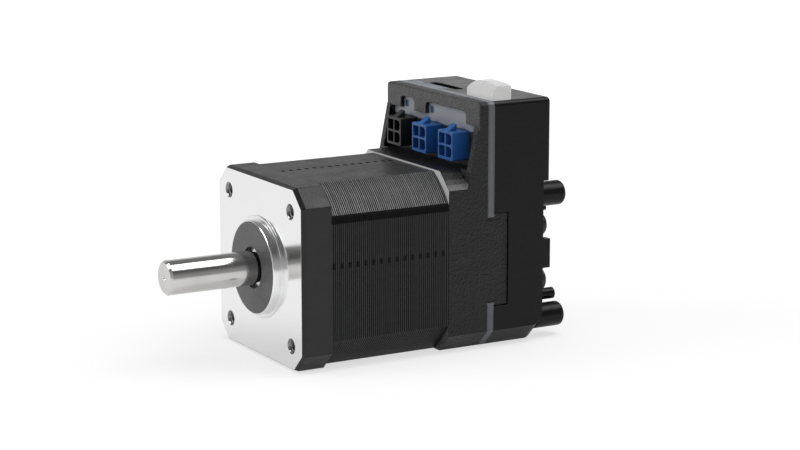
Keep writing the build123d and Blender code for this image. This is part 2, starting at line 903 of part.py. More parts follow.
def button_scoop():
    """Slanted space over the right end of the head, above a line that rises to the rear."""
    low = Vector(button_right, button_front, casing_top + button_scoop_front)
    high = Vector(button_right, button_rear, casing_top + button_scoop_rear)
    inner = (low + high) / 2 + Vector(-button_scoop_width, 0, button_scoop_rise)
    slant = Plane(origin=low, z_dir=(high - low).cross(inner - low))
    return slant * Box(half, half, half, align=(Align.CENTER, Align.CENTER, Align.MIN))


def stem_box(extra, low, high, side_extra=0.0):
    """Box round the button's stem, wider by extra."""
    front = band_end + stem_front_gap
    return block(stem_left - extra - side_extra, stem_right + extra + side_extra,
                 front - extra, front + stem_length + extra, low, high)


def stem_bottom():
    return casing_top - stem_drop


def lit_button():
    base = casing_top - button_skirt
    column = extrude(Plane.XY.offset(base) * button_plan(), amount=2 * button_rear_height)
    lengthwise = extrude(plane_at(button_rear) * button_side_view(), amount=button_length)
    crosswise = extrude(Plane.YZ * button_end_view(), amount=half)
    head = (column & lengthwise & crosswise) - button_scoop()
    stem = stem_box(0, stem_bottom(), base)
    catch = stem_box(0, stem_bottom(), stem_bottom() + catch_thickness, catch_reach)
    return head + stem + catch


def plunger_top():
    return stem_bottom() - plunger_play


def switch_centre_y():
    return board_rear + switch_depth / 2


def plunger_box(extra, low, high):
    y = switch_centre_y()
    return block(switch_x - plunger_width / 2 - extra, switch_x + plunger_width / 2 + extra,
                 y - plunger_depth / 2 - extra, y + plunger_depth / 2 + extra, low, high)


def button_switch():
    top = plunger_top() - switch_drop + button_travel
    body = block(switch_x - switch_width / 2, switch_x + switch_width / 2, board_rear, board_rear + switch_depth,
                 top - switch_height, top)
    return body - plunger_box(plunger_fit, top - plunger_sink - button_travel - plunger_fit, top)


def switch_plunger():
    top = plunger_top() - switch_drop + button_travel
    return plunger_box(0, top - plunger_sink, plunger_top())


# Rear cover with its bosses, slot, button pocket and pegs


def cover_shell():
    upper = slab(casing_outline(), band_end, cover_upper_end)
    body = upper & block(-half, half, band_end, cover_upper_end, cover_step_height, casing_top)
    lower = slab(casing_outline() & below(cover_step_height), band_end, cover_lower_end)
    rear_low = lower.faces().sort_by(Axis.Y)[-1]
    low_edges = [edge for edge in rear_low.edges() if edge.center().Z < -half + corner_cut]
    lower = fillet(low_edges, cover_bottom_fillet)
    body = fillet(body.edges().filter_by(Axis.X).group_by(Axis.Z)[-1].sort_by(Axis.Y)[-1], cover_top_fillet)
    return body + lower


def rear_cover():
    body = cover_shell()
    pad = block(half - side_pad_width, half, cover_lower_end, cover_lower_end + side_pad_reach,
                -side_pad_half_height, side_pad_half_height)
    body += [pad, mirror(pad, Plane.YZ)]
    inner = casing_outline(cover_wall)
    body -= slab(inner, band_end, cover_lower_end - cover_wall)
    raised = Pos(0, cover_step_height + cover_wall + half) * Rectangle(frame_width, frame_width)
    body -= slab(inner & raised, band_end, cover_upper_end - cover_wall)
    zone = tongue_half_height + tongue_gap
    for side in (-1, 1):
        edge = sorted((side * (half - tongue_thickness - tongue_gap), side * (half + 1)))
        body -= block(edge[0], edge[1], band_end, housing_end + tongue_reach + tongue_gap, -zone, zone)
    for x, z in cover_screw_places():
        body += rod(cover_boss_radius, board_rear, cover_lower_end - cover_wall, x, z)
    for x, z in cover_screw_places():
        body -= rod(screw_clearance_radius, board_rear, cover_lower_end, x, z)
    for side in (-1, 1):
        body += peg(upper_peg_radius, upper_peg_reach, side * upper_peg_x, upper_peg_z)
        body += peg(lower_peg_radius, lower_peg_reach, side * lower_peg_x, lower_peg_z)
        for z in (post_high, post_low):
            post = peg(post_radius, post_reach, side * post_x, z)
            body += fillet(post.edges().group_by(Axis.Y)[-1], post_round)
    return body - top_openings()


def peg(radius, reach, x, z):
    """Round bar that stands on the rear face of the cover."""
    return rod(radius, cover_lower_end, cover_lower_end + reach, x, z)


def top_openings():
    """Window notch, card slot and button pocket through the top wall of the cover."""
    low = casing_top - cover_wall
    window = block(window_left - tongue_gap, window_right + tongue_gap, band_end, slot_front, low, casing_top)
    slot_middle = Pos((slot_left + slot_right) / 2, slot_front + slot_width / 2, low)
    slot = slot_middle * extrude(RectangleRounded(slot_right - slot_left, slot_width, slot_radius), amount=cover_wall)
    pocket = extrude(Plane.XY.offset(casing_top - pocket_depth) * button_plan(button_side_gap), amount=pocket_depth)
    stem_hole = stem_box(stem_fit, low, casing_top)
    return [window, slot, pocket, stem_hole]


# Cover screws


def cover_screws():
    screws = []
    for x, z in cover_screw_places():
        head_end = cover_lower_end + cover_screw_head_height
        head = rod(cover_screw_head_radius, cover_lower_end, head_end, x, z)
        head = fillet(head.edges().group_by(Axis.Y)[-1], cover_screw_head_round)
        key = Pos(x, z) * RegularPolygon(hex_key_width / 2, 6, major_radius=False)
        head -= slab(key, head_end - hex_key_depth, head_end)
        tip = board_front - cover_screw_tip_from_board + screw_clearance_radius
        screws.append(head + rod(screw_radius, tip, cover_lower_end, x, z))
    return screws


def all_nodes():
    """Every piece of the motor, by name."""
    nodes = {"front_bell": front_bell(), "stator_core": stator_core()}
    rings = bearing(front_bearing_start, shaft_radius, front_ball_radius)
    nodes["front_bearing_outer_ring"], nodes["front_bearing_inner_ring"] = rings[:2]
    nodes["front_bearing_balls"], nodes["front_bearing_shields"] = rings[2:]
    rings = bearing(rear_bearing_start, rear_journal_radius, rear_ball_radius)
    nodes["rear_bearing_outer_ring"], nodes["rear_bearing_inner_ring"] = rings[:2]
    nodes["rear_bearing_balls"], nodes["rear_bearing_shields"] = rings[2:]
    nodes["wave_washer"] = wave_washer()
    nodes["front_insulator"] = insulator(bell_depth, -1)
    nodes["rear_insulator"] = insulator(stack_end, 1)
    nodes["stator_coils"] = around_poles(coil())
    nodes["phase_pins"] = phase_pins()
    nodes["rotor_shaft"] = shaft()
    nodes.update(rotor_pieces())
    nodes["magnet_holder"] = magnet_holder()
    nodes["encoder_magnet"] = encoder_magnet()
    nodes["rear_housing"] = rear_housing()
    nodes["tie_bolts"] = tie_bolts()
    nodes["light_guide"] = light_guide()
    nodes["control_board"] = control_board()
    nodes["board_screws"] = board_screws()
    names = ("power_header", "bus_in_header", "bus_out_header")
    for name, x in zip(names, header_centres()):
        nodes[name] = header(x)
        nodes[name + "_pins"] = header_pins(x)
    nodes["encoder_chip"] = chip(0, 0, encoder_chip_size, board_front - chip_thickness, board_front)
    nodes["processor_chip"] = chip(0, inductor_z, processor_size, board_rear, board_rear + chip_thickness)
    nodes["power_transistors"] = power_transistors()
    nodes["filter_capacitors"] = filter_capacitors()
    nodes["power_inductor"] = power_inductor()
    nodes["status_leds"] = status_leds()
    nodes["card_socket"] = card_socket()
    nodes["button_switch"] = button_switch()
    nodes["switch_plunger"] = switch_plunger()
    nodes["lit_button"] = lit_button()
    nodes["rear_cover"] = rear_cover()
    nodes["cover_screws"] = cover_screws()
    return nodes


def write_nodes():
    os.makedirs("parts", exist_ok=True)
    for name, shape in all_nodes().items():
        if isinstance(shape, list):
            shape = Compound(children=shape)
        export_step(shape, os.path.join("parts", name + ".step"))


write_nodes()
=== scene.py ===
"""Studio scene of an integrated servo motor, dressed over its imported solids."""

import logging
import math
from dataclasses import dataclass, field
from enum import Enum

import bpy
from mathutils import Matrix, Vector


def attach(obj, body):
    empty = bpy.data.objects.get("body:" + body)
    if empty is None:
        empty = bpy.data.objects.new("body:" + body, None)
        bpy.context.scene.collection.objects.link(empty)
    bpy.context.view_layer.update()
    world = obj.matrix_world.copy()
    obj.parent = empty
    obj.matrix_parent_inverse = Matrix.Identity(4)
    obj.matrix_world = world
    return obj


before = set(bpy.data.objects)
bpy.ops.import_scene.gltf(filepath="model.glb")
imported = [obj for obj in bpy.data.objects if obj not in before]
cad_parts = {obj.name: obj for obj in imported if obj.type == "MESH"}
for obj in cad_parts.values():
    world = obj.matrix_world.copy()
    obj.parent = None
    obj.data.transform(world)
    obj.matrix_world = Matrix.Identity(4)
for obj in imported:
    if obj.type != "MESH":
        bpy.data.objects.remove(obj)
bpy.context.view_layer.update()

log = logging.getLogger("servo_motor")
MM = 0.001
Socket = bpy.types.NodeSocket
Triple = tuple[float, float, float]
# A fade holds the two values that it runs between, and then its result at each of them.
Fade = tuple[float, float, float, float]
BLACK_PAINT: Triple = (0.005, 0.005, 0.0052)


class Lines(Enum):
    """Ways in which fine tool marks run over a metal surface."""

    ROUND_THE_SHAFT = "round_the_shaft"
    FACE_RINGS = "face_rings"
    ALONG_X = "along_x"


class Bench:
    """Places shader nodes in one tree and links them."""

    def __init__(self, tree: bpy.types.NodeTree) -> None:
        """Keeps the node tree of a material, world or group, which the nodes go into."""
        self.tree = tree

    def add(self, kind: str, **settings: object) -> bpy.types.Node:
        """Adds one node.

        Args:
            kind: The node's type name.
            settings: Properties to set on it.

        Returns:
            The new node.
        """
        node = self.tree.nodes.new(kind)
        for name, value in settings.items():
            setattr(node, name, value)
        return node

    def feed(self, target: Socket, source: object) -> None:
        """Links a socket, or sets its value if the source is a number or a tuple.

        Args:
            target: The input socket.
            source: An output socket, a number or a tuple.
        """
        if isinstance(source, Socket):
            self.tree.links.new(source, target)
        else:
            target.default_value = source

    def maths(self, operation: str, first: object, second: object = 0.0,
              clamp: bool = False) -> Socket:
        """Adds a Math node.

        Args:
            operation: The node's operation.
            first: The first value or socket.
            second: The second value or socket.
            clamp: Whether the result is kept between 0 and 1.

        Returns:
            The node's output.
        """
        node = self.add("ShaderNodeMath", operation=operation, use_clamp=clamp)
        self.feed(node.inputs[0], first)
        self.feed(node.inputs[1], second)
        return node.outputs[0]

    def spread(self, value: object, low: float, high: float,
               start: float = 0.0, end: float = 1.0) -> Socket:
        """Maps a value from one range to another, clamped.

        Args:
            value: The value or socket to map.
            low: The value that becomes start.
            high: The value that becomes end.
            start: The result at low.
            end: The result at high.

        Returns:
            The mapped value.
        """
        node = self.add("ShaderNodeMapRange")
        for index, source in enumerate((value, low, high, start, end)):
            self.feed(node.inputs[index], source)
        return node.outputs[0]

    def product(self, *factors: object) -> Socket:
        """Multiplies values, such as masks that have to hold together.

        Args:
            factors: Values or sockets.

        Returns:
            Their product.
        """
        total = factors[0]
        for factor in factors[1:]:
            total = self.maths("MULTIPLY", total, factor)
        return total

    def between(self, value: object, low: float, high: float) -> Socket:
        """Makes a mask that is 1 where a value lies between two limits."""
        above, below = self.maths("GREATER_THAN", value, low), self.maths("LESS_THAN", value, high)
        return self.product(above, below)

    def away(self, value: object, middle: float) -> Socket:
        """Finds how far a value lies from a middle, whichever side it is on."""
        return self.maths("ABSOLUTE", self.maths("SUBTRACT", value, middle))

    def weigh(self, factor: object, first: object, second: object) -> Socket:
        """Mixes two values.

        Args:
            factor: How much of the second value counts.
            first: A value or socket.
            second: A value or socket.

        Returns:
            The mixed value.
        """
        node = self.add("ShaderNodeMix", data_type="FLOAT")
        self.feed(node.inputs[0], factor)
        self.feed(node.inputs[2], first)
        self.feed(node.inputs[3], second)
        return node.outputs[0]

    def bump(self, height: object, depth: float) -> Socket:
        """Adds a Bump node.

        Args:
            height: The height socket.
            depth: The bump's depth in metres.

        Returns:
            The bumped normal.
        """
        node = self.add("ShaderNodeBump")
        node.inputs["Distance"].default_value = depth
        self.feed(node.inputs["Height"], height)
        return node.outputs[0]

    def blend(self, factor: object, first: object, second: object) -> Socket:
        """Mixes two colours.

        Args:
            factor: How much of the second colour shows.
            first: Red, green and blue, or a socket.
            second: Red, green and blue, or a socket.

        Returns:
            The mixed colour.
        """
        node = self.add("ShaderNodeMix", data_type="RGBA")
        self.feed(node.inputs[0], factor)
        for socket, source in ((node.inputs[6], first), (node.inputs[7], second)):
            self.feed(socket, source + (1.0,) if isinstance(source, tuple) else source)
        return node.outputs[2]

    def place(self) -> tuple[Socket, ...]:
        """Reads the place on the object.

        Returns:
            The vector, and its X, Y and Z in metres.
        """
        coordinates = self.add("ShaderNodeTexCoord").outputs["Object"]
        split = self.add("ShaderNodeSeparateXYZ")
        self.feed(split.inputs[0], coordinates)
        return coordinates, split.outputs[0], split.outputs[1], split.outputs[2]

    def radius(self, across: object, upward: object) -> Socket:
        """Finds the distance from the middle of two sockets' plane, such as from the shaft axis."""
        squares = self.maths("ADD", self.product(across, across), self.product(upward, upward))
        return self.maths("SQRT", squares)

    def noise(self, vector: object, scale: object, detail: float = 3.0, rough: float = 0.5) -> Socket:
        """Adds a Noise texture.

        Args:
            vector: The coordinates.
            scale: Cells per metre.
            detail: Octaves.
            rough: How strong the fine octaves are.

        Returns:
            The texture's factor.
        """
        node = self.add("ShaderNodeTexNoise")
        self.feed(node.inputs["Vector"], vector)
        self.feed(node.inputs["Scale"], scale)
        node.inputs["Detail"].default_value = detail
        node.inputs["Roughness"].default_value = rough
        return node.outputs[0]


def tones(colour: Triple, change: float) -> tuple[Triple, Triple]:
    """Finds a darker and a lighter tone that lie a share of the colour away from it."""
    return (tuple(part * (1 - change) for part in colour),
            tuple(min(1.0, part * (1 + change)) for part in colour))


def shared_group(name: str, inputs: dict[str, float],
                 outputs: tuple[str, ...]) -> tuple[bpy.types.NodeTree, Bench, bool]:
    """Finds or starts an effect that several finishes use.

    Args:
        name: The group's name.
        inputs: Names and defaults of its inputs.
        outputs: Names of its outputs.

    Returns:
        The group, a bench for it, and whether it is new.
    """
    found = bpy.data.node_groups.get(name)
    if found:
        return found, Bench(found), False
    group = bpy.data.node_groups.new(name, "ShaderNodeTree")
    for label, default in inputs.items():
        socket = group.interface.new_socket(label, in_out="INPUT", socket_type="NodeSocketFloat")
        socket.default_value = default
    for label in outputs:
        group.interface.new_socket(label, in_out="OUTPUT", socket_type="NodeSocketFloat")
    return group, Bench(group), True


def grain_group() -> bpy.types.NodeTree:
    """Leathery grain of moulded plastic or textured paint.

    Returns:
        A group with Height and Speckle outputs.
    """
    inputs = {"Scale": 2600.0, "Wander": 0.3}
    finer, octaves, rough = 1.9, 4.0, 0.6
    group, bench, fresh = shared_group("fine_grain", inputs, ("Height", "Speckle"))
    if fresh:
        given = bench.add("NodeGroupInput")
        out = bench.add("NodeGroupOutput")
        vector = bench.place()[0]
        cells = bench.add("ShaderNodeTexVoronoi", feature="SMOOTH_F1")
        bench.feed(cells.inputs["Vector"], vector)
        bench.feed(cells.inputs["Scale"], given.outputs["Scale"])
        fine = bench.noise(vector, bench.product(given.outputs["Scale"], finer), octaves, rough)
        wander = bench.product(fine, given.outputs["Wander"])
        bench.feed(out.inputs["Height"], bench.maths("ADD", wander, cells.outputs["Distance"]))
        bench.feed(out.inputs["Speckle"], fine)
    return group


def cloud_group() -> bpy.types.NodeTree:
    """Slow changes of tone, such as handling marks and uneven coats.

    Returns:
        A group with Tone and Smear outputs.
    """
    smear_stretch, smear_finer = (1.0, 0.35, 1.4), 4.0
    group, bench, fresh = shared_group("soft_clouds", {"Scale": 90.0}, ("Tone", "Smear"))
    if fresh:
        given = bench.add("NodeGroupInput")
        out = bench.add("NodeGroupOutput")
        vector = bench.place()[0]
        tone = bench.noise(vector, given.outputs["Scale"], 3.0, 0.55)
        stretch = bench.add("ShaderNodeMapping", vector_type="POINT")
        stretch.inputs["Scale"].default_value = smear_stretch
        bench.feed(stretch.inputs["Vector"], vector)
        scale = bench.product(given.outputs["Scale"], smear_finer)
        smear = bench.noise(stretch.outputs[0], scale, 5.0, 0.65)
        bench.feed(out.inputs["Tone"], bench.spread(tone, 0.3, 0.7))
        bench.feed(out.inputs["Smear"], bench.spread(smear, 0.35, 0.7))
    return group


def tool_mark_group(lines: Lines) -> bpy.types.NodeTree:
    """Fine parallel marks that a lathe or a brush leaves.

    Args:
        lines: The way the marks run.

    Returns:
        A group with Height and Shine outputs.
    """
    name = "tool_marks_" + lines.value
    group, bench, fresh = shared_group(name, {"Density": 9000.0}, ("Height", "Shine"))
    if fresh:
        given = bench.add("NodeGroupInput")
        out = bench.add("NodeGroupOutput")
        _, across, along, upward = bench.place()
        join = bench.add("ShaderNodeCombineXYZ")
        slow = 0.02
        if lines is Lines.FACE_RINGS:
            parts = (bench.radius(across, upward), bench.product(across, slow),
                     bench.product(upward, slow))
        elif lines is Lines.ROUND_THE_SHAFT:
            parts = (bench.product(across, slow), along, bench.product(upward, slow))
        else:
            parts = (bench.product(across, slow), along, upward)
        for socket, part in zip(join.inputs, parts):
            bench.feed(socket, part)
        marks = bench.noise(join.outputs[0], given.outputs["Density"], 4.0, 0.7)
        bench.feed(out.inputs["Height"], marks)
        bench.feed(out.inputs["Shine"], bench.spread(marks, 0.3, 0.7))
    return group


@dataclass(frozen=True)
class Plastic:
    """A moulded plastic or textured coat."""

    name: str
    colour: Triple
    roughness: float = 0.5
    grain_scale: float = 2600.0
    grain_depth: float = 0.00003
    specular: float = 0.5
    tone_change: float = 0.12
    subsurface: float = 0.0
    coat: float = 0.0
    # Painted light: emission standing in for light scattered through a translucent body.
    painted_glow: float = 0.0
    painted_glow_colour: Triple = (1.0, 0.995, 0.985)
    speckle: float = 0.25
    smoother: float = 0.05
    rougher: float = 0.06
    scatter: float = 1.5 * MM

    def shaded(self) -> tuple[bpy.types.Material, Bench, bpy.types.Node, Socket]:
        """Builds the nodes that every plastic has.

        Returns:
            The material, its bench, its shader and the toned base colour.
        """
        material = bpy.data.materials.new(self.name)
        material.use_nodes = True
        bench = Bench(material.node_tree)
        shader = material.node_tree.nodes["Principled BSDF"]
        clouds = bench.add("ShaderNodeGroup", node_tree=cloud_group())
        grain = bench.add("ShaderNodeGroup", node_tree=grain_group())
        grain.inputs["Scale"].default_value = self.grain_scale
        dark, light = tones(self.colour, self.tone_change)
        tone = bench.blend(clouds.outputs["Tone"], dark, light)
        specks = bench.spread(grain.outputs["Speckle"], 0.55, 0.8, 0.0, self.speckle)
        speckled = bench.blend(specks, tone, light)
        bench.feed(shader.inputs["Base Color"], speckled)
        smear = bench.spread(clouds.outputs["Smear"], 0.0, 1.0, self.roughness - self.smoother,
                             self.roughness + self.rougher)
        bench.feed(shader.inputs["Roughness"], smear)
        bench.feed(shader.inputs["Normal"], bench.bump(grain.outputs["Height"], self.grain_depth))
        shader.inputs["Specular IOR Level"].default_value = self.specular
        shader.inputs["Coat Weight"].default_value = self.coat
        shader.inputs["Emission Color"].default_value = self.painted_glow_colour + (1.0,)
        shader.inputs["Emission Strength"].default_value = self.painted_glow
        shader.inputs["Subsurface Weight"].default_value = self.subsurface
        shader.inputs["Subsurface Radius"].default_value = (1.0, 1.0, 1.0)
        shader.inputs["Subsurface Scale"].default_value = self.scatter
        return material, bench, shader, speckled

    def make(self) -> bpy.types.Material:
        """Builds the material."""
        return self.shaded()[0]


@dataclass(frozen=True)
class Metal:
    """A bare or plated metal with tool marks."""

    name: str
    colour: Triple
    roughness: float = 0.25
    lines: Lines = Lines.ROUND_THE_SHAFT
    mark_density: float = 9000.0
    mark_depth: float = 0.000004
    tone_change: float = 0.08
    smoothest: float = 0.75
    roughest: float = 1.3

    def make(self) -> bpy.types.Material:
        """Builds the material.

        Returns:
            The finished material.
        """
        material = bpy.data.materials.new(self.name)
        material.use_nodes = True
        bench = Bench(material.node_tree)
        shader = material.node_tree.nodes["Principled BSDF"]
        clouds = bench.add("ShaderNodeGroup", node_tree=cloud_group())
        marks = bench.add("ShaderNodeGroup", node_tree=tool_mark_group(self.lines))
        marks.inputs["Density"].default_value = self.mark_density
        dark, light = tones(self.colour, self.tone_change)
        bench.feed(shader.inputs["Base Color"], bench.blend(clouds.outputs["Tone"], dark, light))
        shine = bench.maths("ADD", marks.outputs["Shine"], clouds.outputs["Smear"])
        rough = bench.spread(shine, 0.0, 2.0, self.roughness * self.smoothest,
                             self.roughness * self.roughest)
        bench.feed(shader.inputs["Roughness"], rough)
        bench.feed(shader.inputs["Normal"], bench.bump(marks.outputs["Height"], self.mark_depth))
        shader.inputs["Metallic"].default_value = 1.0
        return material


@dataclass(frozen=True)
class ToneBox:
    """A box of space in which the paint gets a painted tone of light or shade."""

    low: Triple
    high: Triple
    colour: Triple

    def mask(self, bench: Bench) -> Socket:
        """Makes a mask that is 1 in the box."""
        sides = zip(bench.place()[1:], self.low, self.high)
        return bench.product(*(bench.between(socket, low, high) for socket, low, high in sides))


@dataclass(frozen=True)
class PaintedCasting:
    """A cast part in grained black paint, with machined faces left bare."""

    name: str
    paint: Triple
    bare: Triple
    machined_until: float
    dark_disc_radius: float = 0.0
    dark_disc_until: float = -1.0
    grain_scale: float = 2900.0
    grain_depth: float = 0.00005
    roughness: float = 0.42
    specular: float = 0.42
    bare_metallic: float = 1.0
    bare_roughness: float = 0.2
    disc: Triple = (0.075, 0.075, 0.077)
    bare_spots: tuple[float, float] = (0.0, 0.0)
    # Painted shade: a darker metal in the threaded holes.
    hole_shade_metal: Triple = (0.26, 0.26, 0.27)
    # Painted shade: below a given height the bare metal fades back towards paint, keeping only a share
    # of its bareness.
    bare_shaded_below: float = -1.0
    bare_in_shade: float = 0.0
    bare_shade_fade: float = 6 * MM
    bore_share: float = 0.5
    mark_tone: float = 0.96
    mark_share: float = 0.04
    shine_change: float = 0.2
    # Boxes of painted light and shade over the paint.
    toned: tuple[ToneBox, ...] = ()

    def threaded_mask(self, bench: Bench) -> Socket:
        """Finds the four threaded holes.

        Args:
            bench: The material's bench.

        Returns:
            A mask that is 1 in the holes.
        """
        _, across, _, upward = bench.place()
        offset, radius = self.bare_spots
        aside = bench.maths("SUBTRACT", bench.maths("ABSOLUTE", across), offset)
        above = bench.maths("SUBTRACT", bench.maths("ABSOLUTE", upward), offset)
        return bench.maths("LESS_THAN", bench.radius(aside, above), radius)

    def bare_mask(self, bench: Bench) -> Socket:
        """Finds where the paint is machined off.

        Args:
            bench: The material's bench.

        Returns:
            A mask that is 1 on bare metal.
        """
        _, across, along, upward = bench.place()
        # Painted shade: lower down the bare metal fades back towards paint.
        height = bench.spread(upward, self.bare_shaded_below, self.bare_shaded_below + self.bare_shade_fade,
                              self.bare_in_shade, 1.0)
        bare = bench.product(bench.maths("LESS_THAN", along, self.machined_until), height)
        if self.dark_disc_radius:
            radius = bench.radius(across, upward)
            inside = bench.maths("LESS_THAN", radius, self.dark_disc_radius)
            in_front = bench.maths("LESS_THAN", along, self.dark_disc_until)
            bare = bench.maths("SUBTRACT", bare, bench.product(inside, in_front), clamp=True)
            bore = bench.maths("LESS_THAN", radius, self.dark_disc_radius * self.bore_share)
            bare = bench.maths("SUBTRACT", bare, bore, clamp=True)
        if self.bare_spots[1]:
            bare = bench.maths("MAXIMUM", bare, self.threaded_mask(bench))
        return bare

    def make(self) -> bpy.types.Material:
        """Builds the material.

        Returns:
            The finished material.
        """
        coat = Plastic(self.name, self.paint, self.roughness, self.grain_scale, self.grain_depth,
                       self.specular)
        material, bench, shader, painted = coat.shaded()
        mask = self.bare_mask(bench)
        marks = bench.add("ShaderNodeGroup", node_tree=tool_mark_group(Lines.FACE_RINGS))
        worked = tuple(part * self.mark_tone for part in self.bare)
        silver = bench.blend(marks.outputs["Shine"], worked, self.bare)
        if self.dark_disc_radius:
            in_front = bench.maths("LESS_THAN", bench.place()[2], self.dark_disc_until)
            painted = bench.blend(in_front, painted, self.disc)
        if self.bare_spots[1]:
            # Painted shade in the threaded holes: a darker metal than the face.
            silver = bench.blend(self.threaded_mask(bench), silver, self.hole_shade_metal)
        # Painted light and shade in boxes over the paint.
        for area in self.toned:
            painted = bench.blend(area.mask(bench), painted, area.colour)
        bench.feed(shader.inputs["Base Color"], bench.blend(mask, painted, silver))
        bench.feed(shader.inputs["Metallic"], bench.product(mask, self.bare_metallic))
        smooth, dull = (self.bare_roughness * (1 + sign * self.shine_change) for sign in (-1, 1))
        rough = bench.spread(marks.outputs["Shine"], 0.0, 1.0, smooth, dull)
        smear = shader.inputs["Roughness"].links[0].from_socket
        bench.feed(shader.inputs["Roughness"], bench.weigh(mask, smear, rough))
        height = shader.inputs["Normal"].links[0].from_node.inputs["Height"]
        scratches = bench.product(marks.outputs["Height"], self.mark_share)
        bench.feed(height, bench.weigh(mask, height.links[0].from_socket, scratches))
        return material


@dataclass(frozen=True)
class VarnishedLaminations:
    """Stacked sheets in black varnish outside, bare steel in the slots. The outside carries painted
    light: sheen on each sheet's lip, lighter on the top, a highlight on the upper corners and a shade
    band below them.
    """

    name: str = "varnished_laminations"
    varnish: Triple = (0.003, 0.003, 0.0031)
    # The ridge tones are painted sheen on the sheet lips, lighter on the top and brightest on the upper
    # corners.
    ridge: Triple = (0.042, 0.042, 0.043)
    top_lit_ridge: Triple = (0.10, 0.10, 0.102)
    corner_highlight_ridge: Triple = (0.29, 0.29, 0.295)
    flat_end: float = 14.16 * MM
    # Painted shade band on the sides, just below the lit corners.
    shade_band_from: float = 12.8 * MM
    shade_band_until: float = 14.7 * MM
    side_start: float = 19.5 * MM
    top_start: float = 20.9 * MM
    cleat_pitch: float = 2.044 * MM
    cleat_start: float = 7.76 * MM
    cleat_share: float = 0.24
    cleat_place: float = 3.1 * MM
    cleat_half: float = 0.62 * MM
    steel: Triple = (0.34, 0.33, 0.32)
    start: float = 7.5 * MM
    pitch: float = 0.511 * MM
    gap_share: float = 0.34
    inner_radius: float = 18.6 * MM
    lip: tuple[float, float] = (0.15, 0.51)
    # Random break-up of the painted lip sheen.
    lip_sheen_scale: float = 700.0
    lip_sheen_fade: Fade = (0.35, 0.65, 0.8, 1.0)
    sheet_fade: Fade = (0.0, 1.0, 0.6, 1.0)
    corner_highlight_least: float = 0.42
    gap_tone: Triple = (0.007, 0.007, 0.007)
    shade_band_tone: Triple = (0.003, 0.003, 0.003)
    cleat_tone: Triple = (0.002, 0.002, 0.002)
    dull_roughness: float = 0.95

    def cleat_mask(self, bench: Bench, place: tuple[Socket, ...]) -> Socket:
        """Finds the pressed marks that hold the sheets together.

        Args:
            bench: The material's bench.
            place: The surface's vector, X, Y and Z.

        Returns:
            A mask that is 1 in the marks.
        """
        _, across, along, upward = place
        turns = bench.maths("DIVIDE", bench.maths("SUBTRACT", along, self.cleat_start),
                            self.cleat_pitch)
        marked = bench.maths("LESS_THAN", bench.maths("FRACT", turns), self.cleat_share)
        found = 0.0
        for socket, centre in ((upward, self.cleat_place), (across, -self.cleat_place)):
            near = bench.maths("LESS_THAN", bench.away(socket, centre), self.cleat_half)
            found = bench.maths("ADD", found, near, clamp=True)
        return bench.product(marked, found)

    def make(self) -> bpy.types.Material:
        """Builds the material.

        Returns:
            The finished material.
        """
        coat = Plastic(self.name, self.varnish, 0.38, 5200.0, 0.00001, specular=0.3, tone_change=0.05)
        material, bench, shader, painted = coat.shaded()
        place = bench.place()
        vector, across, along, upward = place
        turns = bench.maths("DIVIDE", bench.maths("SUBTRACT", along, self.start), self.pitch)
        phase = bench.maths("FRACT", turns)
        gap = bench.maths("GREATER_THAN", phase, 1.0 - self.gap_share)
        # Painted sheen on each sheet's lip, broken up at random and from sheet to sheet.
        wander = bench.noise(vector, self.lip_sheen_scale, 2.0)
        sheet = bench.add("ShaderNodeTexWhiteNoise", noise_dimensions="1D")
        bench.feed(sheet.inputs["W"], bench.maths("FLOOR", turns))
        lip_sheen = bench.product(bench.between(phase, *self.lip), bench.spread(wander, *self.lip_sheen_fade),
                             bench.spread(sheet.outputs["Value"], *self.sheet_fade))
        side = bench.maths("ABSOLUTE", across)
        # Painted highlight on the upper corners, fading as the curve turns towards the top.
        corner = bench.product(bench.maths("GREATER_THAN", side, self.flat_end),
                               bench.maths("GREATER_THAN", upward, self.flat_end))
        turned = bench.spread(upward, self.shade_band_until, self.top_start, 1.0, self.corner_highlight_least)
        # Ridges on the top are painted lighter, as lit from above.
        top = bench.maths("GREATER_THAN", upward, self.top_start)
        flat = bench.blend(top, self.ridge, self.top_lit_ridge)
        ridge = bench.blend(bench.product(corner, turned), flat, self.corner_highlight_ridge)
        # Painted shade band on the sides, below the corners.
        dark = bench.product(bench.maths("GREATER_THAN", side, self.side_start),
                             bench.between(upward, self.shade_band_from, self.shade_band_until))
        cleats = self.cleat_mask(bench, place)
        outer = bench.blend(lip_sheen, painted, ridge)
        for mask, tone in ((gap, self.gap_tone), (dark, self.shade_band_tone), (cleats, self.cleat_tone)):
            outer = bench.blend(mask, outer, tone)
        inner = bench.maths("LESS_THAN", bench.radius(across, upward), self.inner_radius)
        bench.feed(shader.inputs["Base Color"], bench.blend(inner, outer, self.steel))
        bench.feed(shader.inputs["Metallic"], inner)
        smooth = shader.inputs["Roughness"].links[0].from_socket
        dull = bench.maths("MAXIMUM", bench.maths("MAXIMUM", dark, gap), cleats)
        rough = bench.maths("MAXIMUM", smooth, bench.product(dull, self.dull_roughness))
        bench.feed(shader.inputs["Roughness"], rough)
        return material


